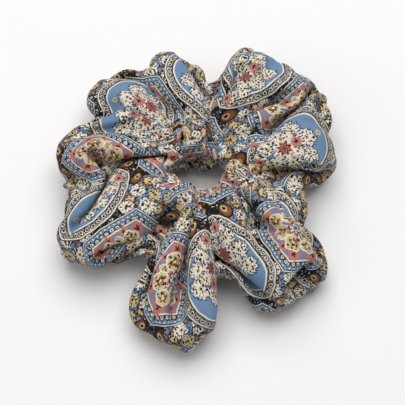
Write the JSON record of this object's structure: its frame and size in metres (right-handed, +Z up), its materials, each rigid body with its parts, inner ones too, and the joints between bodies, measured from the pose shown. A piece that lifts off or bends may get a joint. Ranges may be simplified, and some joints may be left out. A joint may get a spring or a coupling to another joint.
{
  "type": "hair scrunchie",
  "caption": "Gathered fabric hair scrunchie: a puffed printed cloth tube over a hidden elastic loop that pulls open and springs back to hold a ponytail.",
  "frame": {"origin": "middle of the outline, on the surface that the scrunchie lies on", "axes": "+Z up out of the surface, through the hole; +Y along the longer side of the outline, towards the back; +X to the right, the way the loop pulls open"},
  "size_m": [0.1223, 0.1418, 0.034],
  "materials": {
    "printed_cloth": "fine woven polyester crepe with a dense ornamental print in dusty blue, off-white, rust, coral and black",
    "elastic": "flat braided knit elastic, matt",
    "thread": "spun polyester sewing thread"
  },
  "bodies": {
    "left_half": {"sleeve_left": "printed_cloth", "seam_allowance_left": "printed_cloth", "seam_thread_left": "thread", "closing_stitches": "thread", "elastic_band": "elastic", "elastic_lap_stitches": "thread"},
    "right_half": {"sleeve_right": "printed_cloth", "seam_allowance_right": "printed_cloth", "seam_thread_right": "thread"}
  },
  "joints": [
    {"name": "stretch", "type": "slide", "parent": "left_half", "child": "right_half", "axis": [1, 0, 0], "range_m": [0, 0.06], "stiffness_N_per_m": 120, "deforming": ["elastic_band"]}
  ]
}
